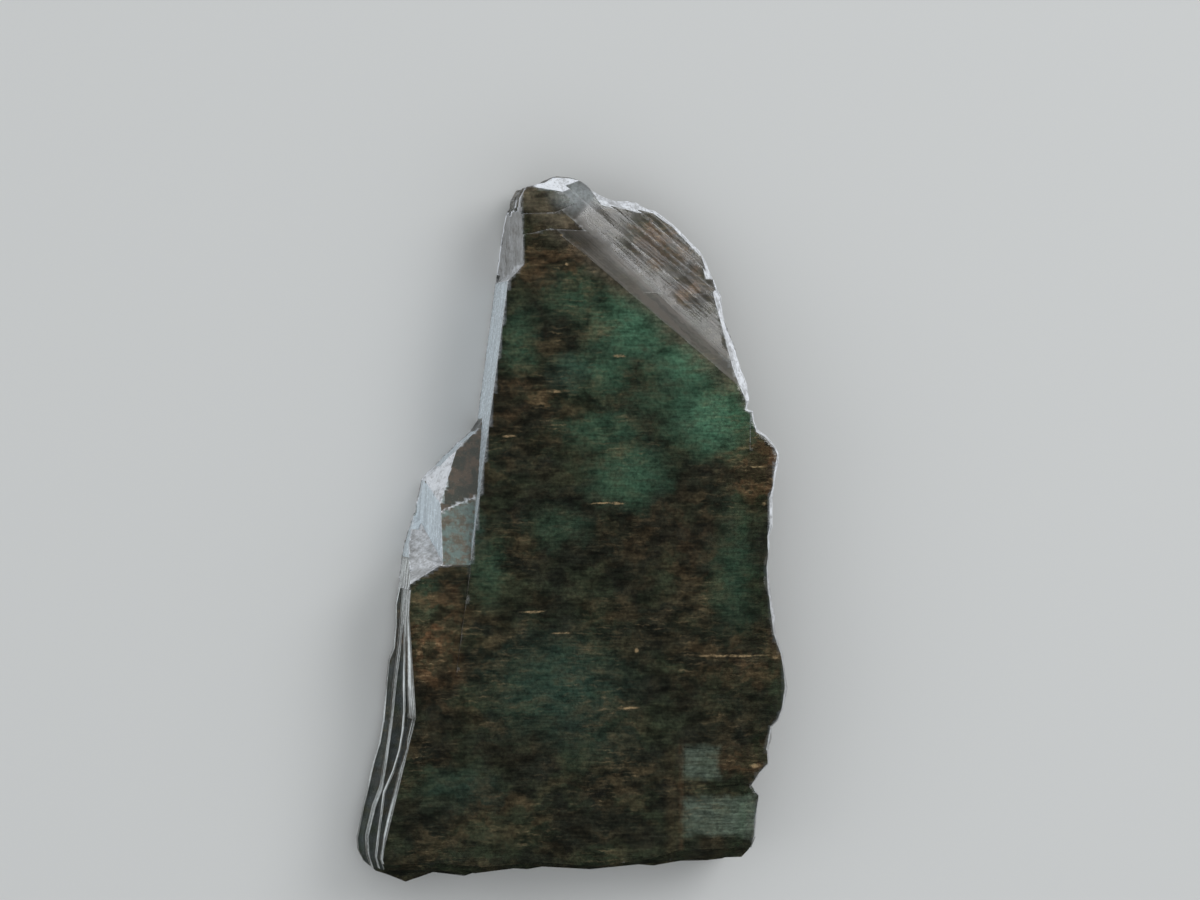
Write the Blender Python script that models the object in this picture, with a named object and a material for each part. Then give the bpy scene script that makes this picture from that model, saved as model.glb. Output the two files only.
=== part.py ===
"""A loose vivianite crystal: a dark green blade grown as one piece, lying on its broad back face.

Its length runs along +Y, its width along X and its thickness along +Z, and the broad front face looks up.
The shape is first the blade's outline raised to its full thickness. Its facets, ledges and chips are then
taken off it, each one a block bounded by the planes of the real face. Outlines and places are in
millimetres, seen from the front.
"""

import math
import random

import bmesh
import bpy
from mathutils import Vector, noise

MM = 0.001

# Driving dimensions, in millimetres.
THICKNESS = 4.2
RIM_WIDTH = 0.26
ROUGHNESS_OF_CHIPS = 0.1
CHIP_FACET = 0.45

# The flat prism face along the left side: one point on it, and how far it leans in X for each unit of Y.
SIDE_FACE_POINT = (-3.9, 11.9)
SIDE_FACE_LEAN = 0.134

# The blade's outline from the front, anticlockwise, in stretches.
BOTTOM_EDGE = [
    (-8.55, -17.0), (-7.2, -16.65), (-5.6, -16.85), (-4.4, -16.45), (-2.6, -16.6), (-1.1, -16.35),
    (0.7, -16.6), (2.1, -16.35), (3.6, -16.5), (5.05, -16.3), (6.4, -16.3),
]
RIGHT_EDGE = [
    (7.05, -16.2), (7.6, -15.95), (8.0, -15.55), (8.25, -14.9), (8.35, -13.6), (8.45, -12.9), (8.1, -12.4),
    (8.45, -11.9), (8.9, -11.4), (8.9, -10.7), (9.05, -10.2), (9.05, -9.65), (9.4, -9.3), (9.65, -8.7),
    (9.85, -7.7), (9.75, -7.1), (9.6, -6.05), (9.25, -5.1), (9.2, -4.25), (9.0, -2.9), (8.85, -1.95),
    (8.95, -1.4), (8.95, -0.4), (9.1, 0.1), (9.1, 1.45), (9.2, 2.1), (9.25, 2.7), (9.4, 3.1), (9.45, 3.6),
    (9.2, 4.05), (8.8, 4.5), (8.4, 4.8), (8.2, 5.2), (8.15, 5.7), (7.85, 5.8), (7.95, 6.2), (7.9, 6.95),
    (7.6, 7.7), (7.4, 8.6), (7.1, 9.45), (6.9, 10.3), (6.8, 11.25),
]
TOP_EDGE = [
    (6.55, 11.85), (6.4, 12.35), (6.2, 12.95), (5.85, 13.5), (5.3, 14.05), (4.75, 14.6), (4.1, 15.1),
    (3.6, 15.45), (3.1, 15.6), (2.7, 15.85), (2.25, 15.9), (1.55, 15.85), (0.9, 16.05), (0.45, 16.35),
    (0.1, 16.7), (-0.65, 16.95), (-1.35, 17.0), (-1.7, 16.9), (-2.05, 16.65), (-3.0, 16.4), (-3.25, 15.9),
    (-3.3, 15.5), (-3.6, 15.2), (-3.85, 14.7), (-3.9, 14.0), (-3.95, 13.0),
]
LEFT_EDGE = [
    (-3.9, 11.9), (-4.75, 5.55), (-4.8, 5.2), (-5.1, 4.75), (-5.45, 4.4), (-5.8, 4.15), (-6.1, 3.8),
    (-6.5, 3.45), (-6.85, 3.05), (-7.25, 2.7), (-7.55, 2.35), (-7.65, 1.8), (-7.8, 1.15), (-7.95, 0.55),
    (-8.15, 0.0), (-8.4, -0.8), (-8.5, -1.4), (-8.65, -2.7), (-8.85, -3.7), (-8.85, -4.7), (-8.95, -5.8),
    (-9.2, -6.4), (-9.3, -7.4), (-9.45, -9.3), (-9.65, -10.4), (-9.85, -11.0), (-10.05, -11.8),
    (-10.2, -12.5), (-10.5, -13.7), (-10.75, -14.95), (-10.7, -15.5), (-10.45, -16.05), (-10.0, -16.45),
    (-9.4, -16.65),
]

# The left edges of the thin layers that step down on the lower left, each with the height of the ledge
# that it leaves beside it. The first is the edge of the front face itself.
LAYERS = [
    (3.15, [
        (-8.7, -2.3), (-8.75, -4.5), (-8.7, -5.5), (-8.66, -7.45), (-8.6, -8.7), (-8.64, -9.65),
        (-8.72, -10.45), (-9.0, -11.35), (-9.5, -12.35), (-9.8, -14.55), (-9.95, -15.75), (-9.8, -16.2),
    ]),
    (2.3, [
        (-8.72, -3.9), (-8.72, -5.9), (-8.74, -7.5), (-8.72, -8.7), (-8.8, -9.7), (-8.95, -10.6),
        (-9.25, -11.6), (-9.7, -12.6), (-9.98, -14.7), (-10.1, -15.7), (-9.95, -16.25),
    ]),
    (0.9, [
        (-8.6, -2.9), (-8.7, -4.35), (-8.85, -5.85), (-9.05, -7.45), (-9.25, -9.4), (-9.45, -10.9),
        (-9.7, -12.45), (-10.05, -13.35), (-10.4, -14.8), (-10.35, -15.7), (-10.15, -16.3),
    ]),
]

# The broken sides from the bottom up: each height, and how far in the side is there.
SIDE_PROFILE = [
    (0.55, 0.12), (0.62, 0.0), (1.35, 0.05), (1.42, 0.2), (1.95, 0.16), (2.02, 0.03), (2.75, 0.0),
    (2.82, 0.14), (3.25, 0.14), (3.32, 0.0), (THICKNESS - RIM_WIDTH, 0.0),
]

# The rough chips, each as three points of its plane and a rough direction out of the crystal.
SHOULDER_END = ((-8.7, -2.65, 4.1), (-7.2, -1.75, 4.1), (-8.2, -0.1, 0.9), (0, 1, 1))
SILVER_CHIP = ((-7.0, 1.35, 3.25), (-6.05, 3.9, 2.2), (-7.5, 2.35, 1.0), (-1, 1, 1))
LENS_CHIP = ((-3.2, 12.6, THICKNESS), (-3.2, 16.0, THICKNESS), (-3.75, 14.0, 0.6), (-1, 0, 0))
KNOB = ((-0.7, 16.2, 3.78), (0.3, 16.2, 3.66), (-0.7, 17.2, 3.03), (0, 0, 1))

# The worn rim around the top: stretches of it, clockwise, with the height of the rim there.
TOP_RIM = [
    ((0.5, 16.35), (2.25, 15.85), 2.6), ((2.25, 15.9), (3.65, 15.35), 2.3), ((3.6, 15.45), (4.75, 14.6), 2.2),
    ((4.75, 14.6), (5.85, 13.5), 2.15), ((5.85, 13.5), (6.4, 12.35), 2.3),
]
RIM_SLOPE = 1.3
KNOB_END = ((-0.2, 17.0), (1.2, 15.0))

# Far enough out to pass every edge of the crystal.
BEYOND = 14.0
BEYOND_END = 20.0

COLOUR = (0.028, 0.043, 0.030, 1.0)


def clear_scene():
    for obj in list(bpy.data.objects):
        bpy.data.objects.remove(obj, do_unlink=True)


def millimetres(x, y, z):
    return Vector((x, y, z)) * MM


def prism(outline, low, high):
    """The outline raised from one height to another."""
    bm = bmesh.new()
    corners = [bm.verts.new(millimetres(x, y, low)) for x, y in outline]
    base = bm.faces.new(corners)
    raised = bmesh.ops.extrude_face_region(bm, geom=[base])["geom"]
    top = [part for part in raised if isinstance(part, bmesh.types.BMVert)]
    bmesh.ops.translate(bm, verts=top, vec=millimetres(0, 0, high - low))
    bmesh.ops.recalc_face_normals(bm, faces=bm.faces[:])
    return bm


def block(*planes):
    """What lies outside all of the planes, each a point and a direction that leads away from the crystal."""
    bm = bmesh.new()
    bmesh.ops.create_cube(bm, size=4 * BEYOND_END * MM)
    for point, outward in planes:
        cut = bmesh.ops.bisect_plane(
            bm, geom=bm.verts[:] + bm.edges[:] + bm.faces[:], plane_co=millimetres(*point),
            plane_no=Vector(outward).normalized(), clear_inner=True,
        )
        rim = [part for part in cut["geom_cut"] if isinstance(part, bmesh.types.BMEdge)]
        bmesh.ops.holes_fill(bm, edges=rim, sides=0)
    bmesh.ops.recalc_face_normals(bm, faces=bm.faces[:])
    return bm


def above(point, along_x=0.0, along_y=0.0):
    """The plane through the point that rises by these slopes, with the crystal under it."""
    return point, (-along_x, -along_y, 1.0)


def below(point, along_x=0.0, along_y=0.0):
    """The same plane with the crystal over it."""
    return point, (along_x, along_y, -1.0)


def through(first, second, third, away):
    """The plane through three points. Away is a rough direction out of the crystal."""
    a, b, c = Vector(first), Vector(second), Vector(third)
    outward = (b - a).cross(c - a)
    if outward.dot(Vector(away)) < 0:
        outward.negate()
    return first, tuple(outward)


def beside(start, end):
    """The upright plane along the line from start to end, with the crystal on the line's right."""
    x, y = end[0] - start[0], end[1] - start[1]
    return (start[0], start[1], 0.0), (-y, x, 0.0)


def object_of(bm, name):
    mesh = bpy.data.meshes.new(name)
    bm.to_mesh(mesh)
    bm.free()
    obj = bpy.data.objects.new(name, mesh)
    bpy.context.scene.collection.objects.link(obj)
    return obj


def take_off(crystal, bm, name):
    """Cuts the block from the crystal with a Boolean and drops the block."""
    cutter = object_of(bm, name)
    cutter.display_type = "WIRE"
    cutter.hide_render = True
    cut = crystal.modifiers.new(name, "BOOLEAN")
    cut.operation = "DIFFERENCE"
    cut.solver = "EXACT"
    cut.object = cutter
    graph = bpy.context.evaluated_depsgraph_get()
    mesh = bpy.data.meshes.new_from_object(crystal.evaluated_get(graph))
    crystal.modifiers.remove(cut)
    crystal.data = mesh
    bpy.data.objects.remove(cutter, do_unlink=True)


def side_face():
    """The upright prism face of the main blade, along its straight left side."""
    x, y = SIDE_FACE_POINT
    return beside((x - SIDE_FACE_LEAN * BEYOND, y - BEYOND), (x, y))


def cut_side_shoulder(crystal):
    """The shoulder left of the side face: two glassy slopes, a silvery chip and a steep blue facet."""
    left = side_face()
    gentle_slope = above((-6.0, -1.72, 4.07), along_y=-0.25)
    steeper_slope = above((-6.0, 1.3, 3.31), along_x=0.08, along_y=-0.45)
    blue_facet = through((-7.05, 1.2, 3.34), (-7.05, -1.5, 4.01), (-7.65, 1.15, 0.7), away=(-1, 0, 0))
    front_step = above((-7.0, -8.0, THICKNESS), along_y=-0.02)
    right_of_blue_facet = beside((-7.15, 0.0), (-7.15, -BEYOND))
    take_off(crystal, block(gentle_slope, left, right_of_blue_facet), "gentle_slope")
    take_off(crystal, block(steeper_slope, left), "steeper_slope")
    take_off(crystal, block(blue_facet, left, through(*SHOULDER_END)), "blue_facet")
    take_off(crystal, block(through(*SILVER_CHIP), left), "silver_chip")
    take_off(crystal, block(front_step, left), "front_step")


def cut_layers(crystal):
    """The thin layers on the lower left, stepping down from the front face like a stack of sheets."""
    for number, (height, edge) in enumerate(LAYERS):
        outline = edge + [(edge[-1][0], -BEYOND_END), (-BEYOND, -BEYOND_END), (-BEYOND, edge[0][1])]
        take_off(crystal, prism(outline, height, THICKNESS + 1), f"layer_{number}")
    ledge = LAYERS[0][0]
    over_first = above((0.0, 0.0, ledge + 0.03))
    corner = (-8.36, -9.0, THICKNESS)
    upper = through((-8.5, -6.6, THICKNESS), corner, (-8.68, -8.0, ledge), away=(-1, 0, 0))
    lower = through(corner, (-8.95, -11.4, THICKNESS), (-8.78, -10.4, ledge), away=(-1, 0, 0))
    over_corner = beside((-BEYOND, -9.0), (BEYOND, -9.0))
    under_corner = beside((BEYOND, -9.01), (-BEYOND, -9.01))
    take_off(crystal, block(upper, over_first, over_corner), "leaning_edge")
    take_off(crystal, block(lower, over_first, under_corner), "lower_leaning_edge")


def cut_side_chip(crystal):
    """The long lens-shaped chip at the top of the left side."""
    end = beside((-3.95, 11.85), (-3.15, 12.7))
    take_off(crystal, block(through(*LENS_CHIP), end), "side_chip")


def cut_top(crystal):
    """The tip: two low ledges across the front face and the rough knob at the very top."""
    first = [(-5, 14.05), (-2.9, 14.15), (-1.9, 14.4), (0.6, 14.3), (3.5, 20.0), (-5, 20.0)]
    second = [(-5, 15.0), (-2.7, 15.15), (-1.6, 15.2), (-0.4, 15.7), (3.0, 20.0), (-5, 20.0)]
    take_off(crystal, prism(first, 4.04, THICKNESS + 1), "first_ledge")
    take_off(crystal, prism(second, 3.84, THICKNESS + 1), "second_ledge")
    take_off(crystal, block(through(*KNOB)), "knob")


def cut_bevel(crystal):
    """The sloping end face on the upper right, with the ridges and steps that run along it."""
    crack_height = 11.3
    smooth = above((2.25, 11.4, THICKNESS), along_x=-0.165, along_y=-0.19)
    over_crack = beside((-5.0, crack_height + 0.3), (5.0, crack_height))
    gentle = above((4.6, 9.2, THICKNESS), along_x=-0.10, along_y=-0.12)
    steep = above((1.7, 13.25, 3.94), along_x=-0.29, along_y=-0.32)
    take_off(crystal, block(smooth, over_crack), "smooth_band")
    take_off(crystal, block(gentle), "gentle_band")
    take_off(crystal, block(steep), "ridged_band")
    over_end = beside((4.8, 11.1), (9.0, 12.2))
    for number, (drop, start, end) in enumerate([
        (0.1, (1.15, 14.7), (4.95, 11.5)),
        (0.18, (1.9, 15.1), (5.6, 12.2)),
        (0.32, (2.5, 15.6), (6.2, 12.4)),
    ]):
        lowered = above((1.7, 13.25, 3.94 - drop), along_x=-0.29, along_y=-0.32)
        take_off(crystal, block(lowered, beside(start, end), over_end), f"ridge_{number}")


def cut_right_side(crystal):
    """The low block that stands out on the right, and the two panes that step down at the lower right."""
    shoulder = above((7.95, 5.0, 4.14), along_x=-0.02, along_y=-0.05)
    take_off(crystal, block(shoulder, beside((7.97, 5.5), (7.75, -5.0))), "right_shoulder")
    upper_pane = [(4.65, -10.5), (7.2, -10.75), (BEYOND, -10.6), (BEYOND, -BEYOND_END), (4.75, -BEYOND_END)]
    lower_pane = [(4.85, -12.55), (7.4, -12.35), (BEYOND, -12.5), (BEYOND, -BEYOND_END), (4.95, -BEYOND_END)]
    take_off(crystal, prism(upper_pane, 4.14, THICKNESS + 1), "upper_pane")
    take_off(crystal, prism(lower_pane, 4.08, THICKNESS + 1), "lower_pane")


def cut_bottom(crystal):
    """The broken lower end, where the layers end one under the other."""
    first = [
        (-9.9, -16.0), (-7.4, -15.9), (-5.2, -16.15), (-2.4, -15.95), (0.4, -16.2), (3.0, -15.9),
        (4.3, -15.5), (9.0, -15.4), (9.0, -20.0), (-9.9, -20.0),
    ]
    second = [
        (-10.1, -16.3), (-7.6, -16.3), (-5.4, -16.5), (-2.6, -16.2), (0.2, -16.4), (3.2, -16.15),
        (5.0, -15.95), (9.0, -15.9), (9.0, -20.0), (-10.1, -20.0),
    ]
    take_off(crystal, prism(first, 3.5, THICKNESS + 1), "first_end")
    take_off(crystal, prism(second, 1.9, THICKNESS + 1), "second_end")


def cut_back(crystal):
    """The back: a broad flat to lie on, with shallow ledges and slopes around it."""
    right = [
        (6.3, -20.0), (6.9, -9.0), (6.2, -2.0), (7.0, 4.0), (4.8, 13.0), (3.0, 20.0), (14.0, 20.0),
        (14.0, -20.0),
    ]
    take_off(crystal, prism(right, -1, 0.4), "back_right_layer")
    left = [(-7.9, -20.0), (-14.0, -20.0), (-14.0, -2.6), (-7.2, -2.4), (-7.5, -8.0)]
    take_off(crystal, prism(left, -1, 0.3), "back_left_layer")
    take_off(crystal, block(below((0.0, 13.2, 0.0), along_x=0.04, along_y=0.3)), "back_top_slope")
    take_off(crystal, block(below((0.0, -15.6, 0.0), along_x=-0.03, along_y=-0.55)), "back_end_slope")
    take_off(crystal, block(below((8.2, 0.0, 0.4), along_x=0.75, along_y=0.05)), "back_right_slope")


def tidy(bm):
    bmesh.ops.remove_doubles(bm, verts=bm.verts[:], dist=0.002 * MM)
    bmesh.ops.dissolve_limit(bm, angle_limit=math.radians(0.3), verts=bm.verts[:], edges=bm.edges[:])


def inward(outline, number):
    """The direction into the blade at one point of an outline that runs anticlockwise."""
    before, after = Vector(outline[number - 1]), Vector(outline[(number + 1) % len(outline)])
    along = (after - before).normalized()
    return Vector((-along.y, along.x))


def raised_from(vert, new):
    """The point that a ring's point was raised to."""
    return next(edge.other_vert(vert) for edge in vert.link_edges if edge.other_vert(vert) in new)


def blank():
    """The full blade. Its broken sides are ledged, because it splits into layers along its broad face."""
    broken = BOTTOM_EDGE + RIGHT_EDGE + TOP_EDGE
    outline = broken + LEFT_EDGE
    wobble = random.Random(7)
    bm = bmesh.new()
    ring = [bm.verts.new(millimetres(x, y, 0)) for x, y in outline]
    back = face = bm.faces.new(ring)
    for height, inset in SIDE_PROFILE + [(THICKNESS, RIM_WIDTH)]:
        raised = bmesh.ops.extrude_face_region(bm, geom=[face])["geom"]
        new = {part for part in raised if isinstance(part, bmesh.types.BMVert)}
        if face is not back:
            bmesh.ops.delete(bm, geom=[face], context="FACES_ONLY")
        face = next(part for part in raised if isinstance(part, bmesh.types.BMFace))
        ring = [raised_from(vert, new) for vert in ring]
        for number, vert in enumerate(ring):
            place = Vector(outline[number])
            if 0 < number < len(broken):
                place += inward(outline, number) * inset * wobble.uniform(0.45, 1.0)
            vert.co = millimetres(place.x, place.y, height)
    bmesh.ops.recalc_face_normals(bm, faces=bm.faces[:])
    bmesh.ops.triangulate(bm, faces=[face for face in bm.faces if len(face.verts) == 4])
    return bm


def wear_top_rim(crystal):
    """The worn rim around the curved top, one short slope after another."""
    for (x, y), (next_x, next_y), height in TOP_RIM:
        length = math.hypot(next_x - x, next_y - y)
        outward_x, outward_y = (y - next_y) / length, (next_x - x) / length
        slope = above((x, y, height), along_x=-RIM_SLOPE * outward_x, along_y=-RIM_SLOPE * outward_y)
        over_next = beside((-BEYOND, next_y - RIM_WIDTH), (BEYOND, next_y - RIM_WIDTH))
        take_off(crystal, block(slope, over_next, beside(*KNOB_END)), "worn_rim")
    right = through((6.45, 12.3, 2.6), (7.9, 6.4, 3.9), (6.2, 12.25, 2.9), away=(1, 0, 0))
    take_off(crystal, block(right, beside((-BEYOND, 6.0), (BEYOND, 6.0))), "worn_right_rim")


def roughen(bm, chip):
    """Breaks the flat faces of a chip into small uneven facets. The chip's outline stays where it is."""
    point, outward = through(*chip)
    point, outward = millimetres(*point), Vector(outward).normalized()
    faces = [
        face for face in bm.faces
        if all(abs((vert.co - point).dot(outward)) < 0.01 * MM for vert in face.verts)
    ]
    across = outward.orthogonal().normalized()
    along = outward.cross(across)
    for direction in (across, along, (across + along).normalized()):
        spread = [vert.co.dot(direction) for face in faces for vert in face.verts]
        low, steps = min(spread), int((max(spread) - min(spread)) / (CHIP_FACET * MM))
        for step in range(1, steps + 1):
            edges = dict.fromkeys(edge for face in faces for edge in face.edges)
            verts = dict.fromkeys(vert for face in faces for vert in face.verts)
            cut = bmesh.ops.bisect_plane(
                bm, geom=faces + list(edges) + list(verts), dist=0.01 * MM,
                plane_co=direction * (low + step * CHIP_FACET * MM), plane_no=direction,
            )
            faces = [part for part in cut["geom"] if isinstance(part, bmesh.types.BMFace)]
    inside = set(faces)
    moves = []
    for vert in dict.fromkeys(vert for face in faces for vert in face.verts):
        if all(face in inside for face in vert.link_faces):
            shortest = min(edge.calc_length() for edge in vert.link_edges)
            depth = noise.noise(vert.co / (1.4 * CHIP_FACET * MM)) - 0.3
            moves.append((vert, outward * depth * min(ROUGHNESS_OF_CHIPS * MM, 0.5 * shortest)))
    for vert, move in moves:
        vert.co += move
    bmesh.ops.triangulate(bm, faces=faces)


def centre_on_base(bm):
    """Puts the origin under the middle of the crystal's box."""
    places = [vert.co for vert in bm.verts]
    low = Vector([min(place[axis] for place in places) for axis in range(3)])
    high = Vector([max(place[axis] for place in places) for axis in range(3)])
    middle = (low + high) / 2
    bmesh.ops.translate(bm, verts=bm.verts[:], vec=(-middle.x, -middle.y, -low.z))


def vivianite():
    material = bpy.data.materials.new("vivianite")
    material.use_nodes = True
    shader = material.node_tree.nodes["Principled BSDF"]
    shader.inputs["Base Color"].default_value = COLOUR
    shader.inputs["Roughness"].default_value = 0.15
    shader.inputs["Metallic"].default_value = 0.0
    shader.inputs["IOR"].default_value = 1.6
    return material


def make_crystal():
    crystal = object_of(blank(), "vivianite_crystal")
    cut_side_shoulder(crystal)
    cut_layers(crystal)
    cut_side_chip(crystal)
    cut_top(crystal)
    cut_bevel(crystal)
    wear_top_rim(crystal)
    cut_right_side(crystal)
    cut_bottom(crystal)
    cut_back(crystal)
    bm = bmesh.new()
    bm.from_mesh(crystal.data)
    tidy(bm)
    for chip in (SHOULDER_END, SILVER_CHIP, LENS_CHIP, KNOB):
        roughen(bm, chip)
    centre_on_base(bm)
    bm.to_mesh(crystal.data)
    bm.free()
    crystal.data.materials.append(vivianite())


clear_scene()
make_crystal()
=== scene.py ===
"""Looks of the loose vivianite crystal: its worn, ledged surface, its clear dark body, and the stage."""

import math
from types import SimpleNamespace
import bmesh
import bpy
from bpy.props import FloatProperty, FloatVectorProperty, IntProperty, PointerProperty
from mathutils import Matrix, Vector, noise


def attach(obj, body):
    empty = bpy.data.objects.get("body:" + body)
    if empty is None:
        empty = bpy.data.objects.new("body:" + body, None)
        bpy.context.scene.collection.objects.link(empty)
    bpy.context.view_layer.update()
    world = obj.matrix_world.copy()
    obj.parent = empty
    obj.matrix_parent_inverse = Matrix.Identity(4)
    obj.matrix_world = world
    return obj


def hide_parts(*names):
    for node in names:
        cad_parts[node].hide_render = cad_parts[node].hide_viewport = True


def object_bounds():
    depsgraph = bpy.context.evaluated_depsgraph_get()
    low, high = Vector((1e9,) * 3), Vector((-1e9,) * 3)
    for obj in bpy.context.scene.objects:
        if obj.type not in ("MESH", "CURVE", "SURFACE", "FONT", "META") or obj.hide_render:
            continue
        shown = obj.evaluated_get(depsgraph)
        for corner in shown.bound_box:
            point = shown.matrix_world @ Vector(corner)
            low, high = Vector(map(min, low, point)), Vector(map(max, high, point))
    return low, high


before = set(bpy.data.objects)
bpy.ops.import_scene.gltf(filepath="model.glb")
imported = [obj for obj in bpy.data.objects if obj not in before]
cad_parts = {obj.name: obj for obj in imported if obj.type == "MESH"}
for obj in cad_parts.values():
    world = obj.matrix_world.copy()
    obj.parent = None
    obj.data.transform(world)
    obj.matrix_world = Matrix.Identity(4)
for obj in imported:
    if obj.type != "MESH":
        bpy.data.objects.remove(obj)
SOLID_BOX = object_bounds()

bl_info = {
    "name": "Vivianite crystal",
    "version": (1, 0, 0),
    "blender": (4, 5, 0),
    "location": "3D View > Sidebar > Vivianite",
    "description": "Builds a vivianite crystal's surface and look around its solid, and a plain stage",
    "category": "Add Mesh",
}

MM = 0.001
NODE = "vivianite_crystal"

# What is written on the crystal's faces and points, for its relief and its materials to read.
MARKS = ("broken", "bevel", "pale", "layered")

# The crystal's material slots.
BODY, BROKEN, SHEEN = range(3)

# Points closer than this are one point, and points this close to a cut lie on it.
SAME_POINT = 0.001 * MM
ON_CUT = 0.004 * MM

# Faces that meet at less than the first angle are one flat face. Past the second, their edge is sharp.
ONE_FACE = math.radians(0.2)
SHARP_EDGE = math.radians(9)

# Places on the crystal are in millimetres in the frame of the solid: X to the right and Y to the tip as the
# front face is seen, Z up out of it.

# The rough chips: a point on each, its outward direction, how far it reaches, and how whitish it is.
CHIPS = {
    "silver_chip": ((-6.4, 2.6, 2.15), (-0.804, 0.457, 0.382), 2.3, 1.15),
    "shoulder_end": ((-7.6, -1.5, 2.95), (-0.441, 0.734, 0.516), 2.6, 0.8),
    "lens_chip": ((-2.95, 14.2, 2.6), (-0.989, 0.0, 0.151), 3.2, 0.24),
    "lens_end": ((-3.1, 12.27, 2.6), (-0.728, 0.685, 0.0), 2.2, 0.5),
    "knob": ((-0.25, 16.4, 3.63), (0.096, 0.597, 0.796), 1.9, 1.15),
}
RIM_WHITENESS = 0.82

# The side facets that look paler than the body: a point on each, its outward direction, how far it reaches,
# and how pale it is, from a brown veil over a grey-green one to a bluish sheen painted into the colour as
# reflection.
PALE_FACETS = {
    "blue_facet": ((-6.9, -0.3, 2.4), (-0.974, 0.055, 0.22), 3.0, 1.0),
    "side_strip": ((-4.37, 5.0, 2.1), (-0.991, 0.133, 0.0), 14.0, 1.0),
    "veiled_facet": ((-5.6, -0.3, 3.7), (0.0, 0.243, 0.97), 2.6, 0.8),
    "brown_facet": ((-5.2, 2.4, 2.8), (-0.073, 0.41, 0.91), 2.6, 0.65),
}
SHEEN_FROM = 0.6
LEDGE_PALENESS = 0.32

# Places along the blade: where the side face becomes only a low step, and down to where the upright edges of
# the shoulder get the pale painted sheen, before the thin layers begin.
STRIP_END = -2.2
SHOULDER_EDGE_END = -2.0


def below(end):
    return (-math.inf, end)


def above(start):
    return (start, math.inf)


# Zones of the crystal, each a range across, along and up.
ALL = (-math.inf, math.inf)
LAYER_EDGES = (below(-4.7), below(5.7), ALL)
LAYER_LEDGES = (below(-7.9), below(-2.0), below(3.3))
BEVEL = (above(-1.0), above(5.0), ALL)
FLAT_SIDE = (above(-6.5), (-8.0, 12.0), ALL)
RIMS = {
    "upper": (above(-0.2), above(7.5), above(2.0)),
    "lower": (above(-0.2), above(-15.0), above(3.5)),
}
# Where worn edges are painted whitish: partly wear, partly a painted highlight where the light catches them.
LIT_WORN_EDGES = {
    "tip": (ALL, above(11.5), ALL),
    "shoulder": (below(-3.0), above(-1.4), ALL),
    "shoulder_end": (below(-6.3), above(-3.0), ALL),
    "upper_right": (above(6.8), above(-1.0), ALL),
}

# The bevel's ridges: the direction across them, where they start in it, and over what way they grow deep.
RIDGES_ACROSS = (0.644, 0.765)
RIDGES_FROM = 11.2
RIDGES_GROW = 1.5

# The clear windows in the front face: place across and along, half size across and along, and strength.
GREEN_WINDOWS = {
    "upper": (2.7, 9.8, 3.3, 2.5, 0.85),
    "upper_right": (5.3, 7.9, 2.9, 2.2, 0.9),
    "right_shoulder": (6.4, 5.5, 3.2, 2.9, 0.95),
    "between": (4.2, 6.1, 2.6, 1.6, 0.35),
    "middle": (2.4, 2.6, 3.0, 2.4, 0.55),
    "middle_top": (1.2, 4.7, 3.0, 1.4, 0.42),
    "inner": (1.2, 7.6, 2.2, 1.8, 0.55),
    "left": (-3.0, 9.0, 1.5, 2.4, 0.36),
    "top": (-0.2, 11.2, 2.2, 1.9, 0.36),
    "left_low": (-4.4, -1.9, 1.2, 2.2, 0.3),
    "right_low": (7.5, -2.0, 1.7, 4.6, 0.26),
    "shoulder": (-7.4, -3.2, 1.1, 1.6, 0.3),
    "centre_left": (-1.0, 0.1, 2.2, 1.5, 0.26),
}
TEAL_WINDOWS = {
    "low": (-1.1, -7.5, 5.0, 3.6, 0.55),
    "low_middle": (0.6, -10.0, 3.4, 2.0, 0.25),
    "inner": (-0.4, 7.6, 1.7, 1.4, 0.5),
    "low_left": (-5.8, -12.4, 3.2, 1.6, 0.4),
    "veiled_facet": (-5.4, 0.0, 1.1, 1.9, 0.6),
}
BROWN_PATCHES = {
    "under_tip": (-0.9, 13.0, 3.4, 2.4, 0.5),
    "side_plate": (-7.1, -5.3, 2.2, 4.2, 1.0),
    "left_upper": (-3.0, 6.6, 3.0, 2.4, 0.4),
    "right_shoulder": (8.8, 3.0, 2.3, 2.6, 1.0),
    "right_band": (7.8, -6.4, 3.8, 2.2, 0.4),
    "right_notch": (8.2, -11.2, 2.1, 1.4, 0.8),
    "bevel_band": (4.2, 14.1, 3.1, 2.5, 1.0),
    "bevel_right": (5.75, 11.65, 2.0, 1.9, 1.0),
    "bevel_upper": (2.4, 13.3, 1.5, 1.2, 0.3),
    "middle": (4.6, -0.6, 3.6, 3.2, 0.25),
    "low": (-4.5, -13.2, 3.0, 1.8, 0.25),
}

# The two clear panes at the lower right, the upright veil beside them, and the red line between: middle
# across and along, half size across and along.
PANES = {"upper": (5.95, -11.3, 0.9, 0.8), "lower": (6.85, -13.9, 1.8, 0.95)}
VEILS = {"upright": (4.5, -13.2, 0.3, 2.7)}
RED_LINES = {"upright": (4.98, -13.0, 0.05, 2.5), "plate": (-5.95, -5.0, 0.28, 2.4)}

# Across the lower edge of the bevelled end: the direction, over what way the front face turns brownish before
# the edge, and over what way the haze behind it fades. The bevel's streaks are turned by this angle.
BEVEL_ACROSS = (0.655, 0.755, 0.0)
BORDER = (9.2, 10.5)
BEVEL_HAZE = (10.3, 11.9)
BEVEL_TURN = math.radians(40)

# Around the tip: where along the blade the haze turns dark, the corner of painted shade where the bevelled
# end runs out into the ledges, and the whitish bloom beside the knob.
TIP_HAZE = (12.8, 14.0)
TIP_CORNER_ACROSS = (-0.72, 0.70, 0.0)
TIP_CORNER = (10.3, 10.8)
BLOOM = {"beside_knob": (0.1, 16.05, 1.9, 1.25, 1.0)}

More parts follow.
